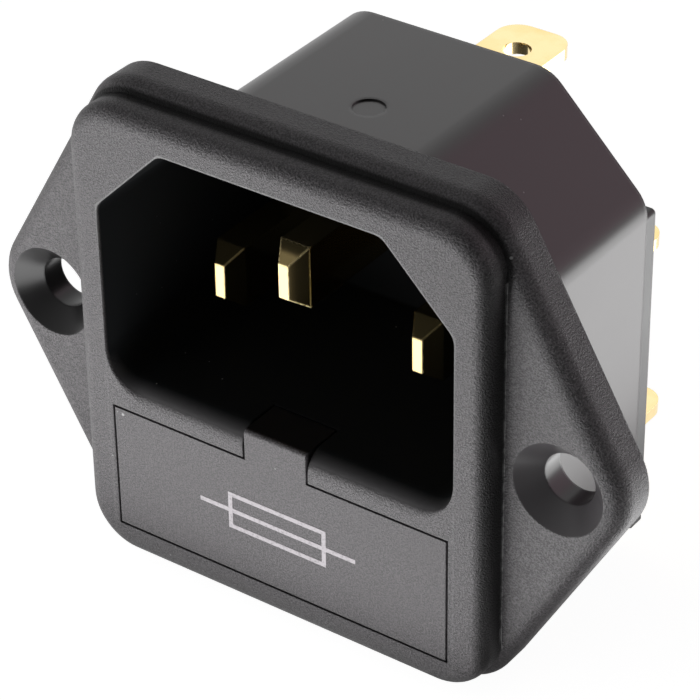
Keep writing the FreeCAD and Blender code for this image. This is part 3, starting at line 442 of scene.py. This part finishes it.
def cover_finish():
    """Rear cover: smooth moulding, a little paler than the block that it closes."""
    shader = Shader("cover_moulding")
    flow, colour = flowed_plastic(shader, (220, 220, 90), COVER_LEVELS)
    rough = shader.ramp(flow, 0.3, 0.7, 0.36, 0.46)
    normal = shader.bump(flow, 0.02 * MM, 0.6, shader.soft_edges(0.08 * MM))
    return shader.finish(Base_Color=dusted(shader, colour, 0.5), Roughness=rough, Normal=normal)


# ---------------------------------------------------------------- metal, glass and ink
DARK_GOLD, PALE_EDGE_GOLD = (0.56, 0.43, 0.19, 1.0), (1.0, 0.82, 0.44, 1.0)


def metal_finish(name, bright, dull, roughness, brushed=(900, 150, 900)):
    """Plated strip: fine lengthwise brush marks, with duller blotches where it was handled."""
    shader = Shader(name)
    marks = shader.noise(1.0, 4.0, 0.6, shader.stretched(brushed))
    blotches = shader.ramp(shader.noise(350, 3.0, 0.6), 0.4, 0.75)
    colour = shader.blend(blotches, (*bright, 1.0), (*dull, 1.0))
    rough = shader.math("ADD", shader.ramp(marks, 0.3, 0.7, roughness * 0.7, roughness * 1.3),
                        shader.product(blotches, 0.06))
    normal = shader.bump(marks, 0.004 * MM, 0.7, shader.soft_edges(0.06 * MM))
    return shader.finish(Base_Color=colour, Metallic=1.0, Roughness=rough, Normal=normal)


def pin_finish():
    """Darkened gold of the pins, paler in a ragged pattern along the tip's edges."""
    shader = Shader("worn_gold")
    _, along, up = shader.axes()
    soft = shader.soft_edges(0.16 * MM)
    true_normal = shader.node("ShaderNodeNewGeometry").outputs["Normal"]
    at_edge = shader.ramp(shader.dot_product(soft, true_normal), 0.998, 0.94)
    patchy = shader.noise(5200, 3.0, 0.7)
    earth = shader.above(up, (LINE_HIGH.z + EARTH_LOW.z) / 2)
    bevel_end = shader.blend_value(earth, LINE_LOW.y + PIN_TAPER, EARTH_LOW.y + PIN_TAPER)
    at_tip = shader.ramp(shader.math("SUBTRACT", along, bevel_end), 0.3 * MM, 0.1 * MM)
    pale_edge = shader.product(at_edge, shader.ramp(patchy, 0.36, 0.5, 0.25, 1.0), at_tip,
                            shader.blend_value(earth, 0.3, 1.0))
    rough = shader.blend_value(pale_edge, 0.1, 0.34)
    normal = shader.bump(shader.product(patchy, pale_edge), 0.05 * MM, 0.8, soft)
    return shader.finish(Base_Color=shader.blend(pale_edge, DARK_GOLD, PALE_EDGE_GOLD), Metallic=1.0,
                         Roughness=rough, Normal=normal)


def glass_finish():
    """Clear tube of the fuses, drawn lengthwise along X."""
    shader = Shader("fuse_glass")
    streaks = shader.noise(1.0, 2.0, 0.5, shader.stretched((80, 500, 500)))
    rough = shader.ramp(streaks, 0.3, 0.7, 0.02, 0.06)
    return shader.finish(Base_Color=(0.93, 0.97, 0.95, 1.0), Roughness=rough, IOR=1.5,
                         Transmission_Weight=1.0)


def print_finish():
    """Pale ink, a little worn where the grain stands through it."""
    shader = Shader("pale_ink")
    worn = shader.ramp(shader.noise(5200, 2.0, 0.6), 0.5, 0.72)
    colour = shader.blend(worn, grey(0.40, WARM_BLACK), grey(0.24, WARM_BLACK))
    return shader.finish(Base_Color=colour, Roughness=0.6,
                         Normal=shader.bump(worn, 0.01 * MM, 0.6))


def dress_nodes():
    """Gives every CAD node its finish."""
    gold = metal_finish("gold_plated_brass", (1.0, 0.80, 0.42), (0.93, 0.68, 0.28), 0.1)
    bronze = metal_finish("spring_bronze", (0.86, 0.55, 0.34), (0.62, 0.38, 0.22), 0.24)
    nickel = metal_finish("nickel_cap", (0.78, 0.77, 0.74), (0.58, 0.57, 0.54), 0.2,
                          brushed=(150, 900, 900))
    element = metal_finish("fuse_element", (0.72, 0.70, 0.66), (0.5, 0.48, 0.44), 0.3)
    pin_gold, glass = pin_finish(), glass_finish()
    finishes = {
        "inlet_housing": housing_finish(), "fuse_drawer": drawer_finish(),
        "rear_cover": cover_finish(), "line_link": gold,
    }
    for name in ("line", "neutral", "earth"):
        finishes[name + "_pin"] = pin_gold
    for name in ("earth", "neutral", "load"):
        finishes[name + "_terminal"] = gold
    for side in ("line", "load"):
        finishes[side + "_fuse_spring"] = bronze
    for fuse in ("working_fuse", "spare_fuse"):
        finishes[fuse + "_glass"] = glass
        finishes[fuse + "_wire"] = element
        for cap in ("left", "right"):
            finishes["%s_%s_cap" % (fuse, cap)] = nickel
    for name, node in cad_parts.items():
        for slot in node.material_slots:
            slot.material = finishes[name]
        if not node.material_slots:
            node.data.materials.append(finishes[name])


# ---------------------------------------------------------------- printed symbol
SYMBOL_HALF_WIDTH, SYMBOL_HALF_HEIGHT, SYMBOL_LEAD = 3.4 * MM, 1.15 * MM, 2.1 * MM
SYMBOL_LEVEL = DRAWER_LOW.z + 4.4 * MM       # of its middle line
STROKE, INK = 0.3 * MM, 0.015 * MM           # width of a line, and thickness of the ink


def add_mesh(name, mesh, material):
    """Object of a finished mesh, with one material."""
    data = bpy.data.meshes.new(name)
    mesh.to_mesh(data)
    mesh.free()
    data.materials.append(material)
    made = bpy.data.objects.new(name, data)
    bpy.context.scene.collection.objects.link(made)
    return made


def add_bar(mesh, start, end):
    """Bar of ink between two points of the drawer's face, given as (x, z)."""
    start, end = Vector(start), Vector(end)
    along = (end - start).normalized() * (STROKE / 2)
    side = Vector((-along.y, along.x))
    corners = [start - along - side, end + along - side, end + along + side, start - along + side]
    back, front = [[mesh.verts.new((x, level, z)) for x, z in corners]
                   for level in (FACE_Y, FACE_Y - INK)]
    mesh.faces.new(front)
    for index in range(4):
        after = (index + 1) % 4
        mesh.faces.new((back[index], back[after], front[after], front[index]))


def add_fuse_symbol():
    """Generic fuse symbol: a box with a line through it, printed on the drawer's face."""
    mesh = bmesh.new()
    low, high = SYMBOL_LEVEL - SYMBOL_HALF_HEIGHT, SYMBOL_LEVEL + SYMBOL_HALF_HEIGHT
    for level in (low, high):
        add_bar(mesh, (-SYMBOL_HALF_WIDTH, level), (SYMBOL_HALF_WIDTH, level))
    for side in (-SYMBOL_HALF_WIDTH, SYMBOL_HALF_WIDTH):
        add_bar(mesh, (side, low + STROKE), (side, high - STROKE))
    for start, end in ((-SYMBOL_HALF_WIDTH - SYMBOL_LEAD, -SYMBOL_HALF_WIDTH - STROKE),
                       (-SYMBOL_HALF_WIDTH + STROKE, SYMBOL_HALF_WIDTH - STROKE),
                       (SYMBOL_HALF_WIDTH + STROKE, SYMBOL_HALF_WIDTH + SYMBOL_LEAD)):
        add_bar(mesh, (start, SYMBOL_LEVEL), (end, SYMBOL_LEVEL))
    bmesh.ops.recalc_face_normals(mesh, faces=mesh.faces)
    symbol = add_mesh("fuse_symbol", mesh, print_finish())
    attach(symbol, "drawer")


# ---------------------------------------------------------------- floor, light and camera
FLOOR_REACH, FLOOR_DROP = 3.0, 0.02 * MM
FLOOR_GLOW, FLOOR_PAINTED_SHADE = 0.95, 0.08         # as seen, and as mirrored in the painted shade at front right
FILL_DIRECTION = Vector((-0.62, -0.72, -0.10)).normalized()
FILL_LEVEL, AMBIENT_LEVEL = 0.45, 0.06
BACKDROP_GLOSS, BACKDROP_LIGHT = 1.05, 0.10  # as mirrored, and as light on matt surfaces
WARM_WALL = (1.0, 0.78, 0.86, 1.0)
FRONT_PANEL_PLACE, FRONT_PANEL_SIZE, FRONT_PANEL_RADIANCE = (-0.24, -0.46, 0.03), (0.34, 0.20), 2.1
LOW_PANEL_HEIGHT = HOUSING_LOW.z + 1.0 * MM
LOW_PANELS = (                               # name, x, y, size along X and Y, radiance
    ("low_front_panel", -0.055, -0.077, (0.16, 0.139), 2.9),
    ("low_right_panel", 0.055, 0.048, (0.070, 0.085), 3.0),
)


def floor_finish():
    """Matt paper that glows white where it is seen or mirrored, but for a painted shade at front
    right.
    """
    shader = Shader("white_floor")
    paper = shader.ramp(shader.noise(90, 3.0, 0.5), 0.3, 0.7)
    matt = shader.node("ShaderNodeBsdfDiffuse")
    shader.feed(matt.inputs["Color"], shader.blend(paper, grey(0.40), grey(0.44)))
    rays = shader.node("ShaderNodeLightPath").outputs
    seen = shader.most(rays["Is Camera Ray"], rays["Is Glossy Ray"], rays["Is Transmission Ray"])
    across, along, _ = shader.axes()
    # painted shade: mirrored from the front right, the floor glows dim, which darkens reflections
    # in the pins and the right side walls
    shade = shader.product(shader.ramp(across, 0.004, 0.018), shader.ramp(along, 0.014, 0.0),
                           shader.outside(rays["Is Camera Ray"]))
    glow = shader.node("ShaderNodeEmission")
    shader.feed(glow.inputs["Color"], WHITE)
    shader.feed(glow.inputs["Strength"],
                shader.product(seen, shader.ramp(shade, 0.0, 1.0, FLOOR_GLOW, FLOOR_PAINTED_SHADE)))
    both = shader.node("ShaderNodeAddShader")
    shader.feed(both.inputs[0], matt.outputs[0])
    shader.feed(both.inputs[1], glow.outputs[0])
    shader.feed(shader.output.inputs["Surface"], both.outputs[0])
    return shader.material


def add_floor():
    """White floor that shows as the background's white and keeps the object's shadow."""
    mesh = bmesh.new()
    corners = [mesh.verts.new((x * FLOOR_REACH, y * FLOOR_REACH, HOUSING_LOW.z - FLOOR_DROP))
               for x, y in ((-1, -1), (1, -1), (1, 1), (-1, 1))]
    mesh.faces.new(corners)
    floor = add_mesh("floor", mesh, floor_finish())


def light_world():
    """Pale studio: backdrop behind, warm at its right, and a soft fill from front left."""
    world = bpy.data.worlds.new("studio")
    bpy.context.scene.world = world
    world.use_nodes = True
    shader = Shader.of_tree(world.node_tree, "ShaderNodeOutputWorld", "Generated")
    across, along, up = shader.axes()
    rays = shader.node("ShaderNodeLightPath").outputs
    seen = rays["Is Camera Ray"]
    mirrored = shader.most(rays["Is Glossy Ray"], rays["Is Transmission Ray"])
    toward_fill = shader.dot_product(shader.place, FILL_DIRECTION)
    fill = shader.ramp(toward_fill, 0.1, 0.95, 0.0, FILL_LEVEL)
    behind = shader.product(shader.ramp(along, 0.1, 0.5), shader.ramp(up, 0.92, 0.72))
    backdrop = shader.product(behind, shader.blend_value(mirrored, BACKDROP_LIGHT, BACKDROP_GLOSS))
    level = shader.math("ADD", shader.math("ADD", fill, backdrop), AMBIENT_LEVEL)
    warm = shader.product(shader.ramp(across, -0.1, 0.35), behind)
    background = shader.node("ShaderNodeBackground")
    shader.feed(background.inputs["Color"],
                shader.blend(seen, shader.blend(warm, WHITE, WARM_WALL), WHITE))
    shader.feed(background.inputs["Strength"], shader.blend_value(seen, level, 1.0))
    shader.feed(shader.output.inputs["Surface"], background.outputs[0])


def add_lamp(name, place, target, size, radiance):
    """Rectangular panel, given by the radiance of its face."""
    data = bpy.data.lights.new(name, "AREA")
    data.shape, data.size, data.size_y = "RECTANGLE", size[0], size[1]
    data.energy = radiance * math.pi * size[0] * size[1]
    lamp = bpy.data.objects.new(name, data)
    lamp.location = Vector(place)
    lamp.rotation_euler = (Vector(target) - Vector(place)).to_track_quat("-Z", "Y").to_euler()
    lamp.visible_camera = False
    bpy.context.scene.collection.objects.link(lamp)


def add_lamps():
    """A soft panel at front left, and two panels low beside the object like a glowing table."""
    add_lamp("front_left_panel", FRONT_PANEL_PLACE, (0, 0, 0), FRONT_PANEL_SIZE,
             FRONT_PANEL_RADIANCE)
    for name, x, y, size, radiance in LOW_PANELS:
        add_lamp(name, (x, y, LOW_PANEL_HEIGHT), (x, y, 1.0), size, radiance)


def add_camera():
    """Long lens at the front right, above, set by its position and its three unit axes."""
    right = Vector((0.81475, 0.57968, -0.01213))
    down = Vector((0.31142, -0.45517, -0.83417))
    forward = Vector((-0.48908, 0.67586, -0.55137))
    data = bpy.data.cameras.new("camera")
    data.sensor_width, data.lens = 36.0, 162.53
    data.clip_start, data.clip_end = 0.01, 20.0
    camera = bpy.data.objects.new("camera", data)
    turn = Matrix((right, -down, -forward)).transposed().to_4x4()
    camera.matrix_world = Matrix.Translation((0.09094, -0.12286, 0.10192)) @ turn
    bpy.context.scene.collection.objects.link(camera)
    bpy.context.scene.camera = camera


dress_nodes()
add_fuse_symbol()
add_floor()
light_world()
add_lamps()
add_camera()
bpy.context.scene.view_settings.view_transform = "Standard"
